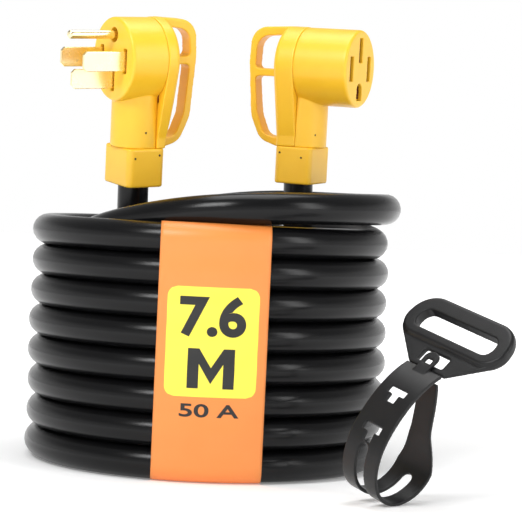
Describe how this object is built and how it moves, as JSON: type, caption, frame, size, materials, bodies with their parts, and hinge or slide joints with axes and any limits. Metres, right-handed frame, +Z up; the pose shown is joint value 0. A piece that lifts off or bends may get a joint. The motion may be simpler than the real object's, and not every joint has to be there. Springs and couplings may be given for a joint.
{
  "type": "shore power cord",
  "caption": "Coiled heavy black power cord with a four-blade right-angle plug, a matching connector with grip loops, a wrapped label band and a looped organizer strap",
  "frame": {"origin": "centre of the bounding box's footprint, on the ground the coil and strap stand on", "axes": "+Z up the coil's axis, +X to the right seen from the front, -Y to the front where the label band and the strap are"},
  "size_m": [0.334, 0.3592, 0.3379],
  "materials": {
    "jacket_black": "semi-gloss moulded",
    "moulded_yellow": "satin moulded",
    "carrier_black": "matt",
    "brass": "bright",
    "crimp_copper": "bright",
    "wire_black": "satin",
    "wire_red": "satin",
    "wire_green": "satin",
    "wire_white": "satin",
    "band_orange": "printed film",
    "strap_black": "satin moulded"
  },
  "bodies": {
    "cord": {"cord_coil": "jacket_black", "cord_top_turn": "jacket_black", "cord_plug_end": "jacket_black", "label_band": "band_orange", "plug_front_body": "moulded_yellow", "plug_rear_grip": "moulded_yellow", "plug_strain_relief": "moulded_yellow", "plug_blade_carrier": "carrier_black", "plug_line_blade_left": "brass", "plug_line_blade_right": "brass", "plug_neutral_blade": "brass", "plug_ground_pin": "brass", "plug_crimp_barrels": "crimp_copper", "plug_wire_line_black": "wire_black", "plug_wire_line_red": "wire_red", "plug_wire_ground_green": "wire_green", "plug_wire_neutral_white": "wire_white", "connector_front_body": "moulded_yellow", "connector_rear_grip": "moulded_yellow", "connector_strain_relief": "moulded_yellow", "connector_contact_carrier": "carrier_black", "connector_line_contact_left": "brass", "connector_line_contact_right": "brass", "connector_neutral_contact": "brass", "connector_ground_contact": "brass", "connector_wire_line_black": "wire_black", "connector_wire_line_red": "wire_red", "connector_wire_ground_green": "wire_green", "connector_wire_neutral_white": "wire_white", "connector_crimp_barrels": "crimp_copper"},
    "strap": {"strap_band": "strap_black"},
    "strap_handle": {"strap_handle": "strap_black"}
  },
  "joints": [
    {"name": "strap_lift", "type": "slide", "parent": "cord", "child": "strap", "axis": [0, 0, 1], "range_m": [0, 0.4]},
    {"name": "strap_handle_flex", "type": "hinge", "parent": "strap", "child": "strap_handle", "pos_m": [0.10953, -0.15067, 0.09196], "axis": [0.591, -0.7713, -0.2364], "range_deg": [-40, 0], "stiffness_Nm_per_rad": 0.5}
  ]
}
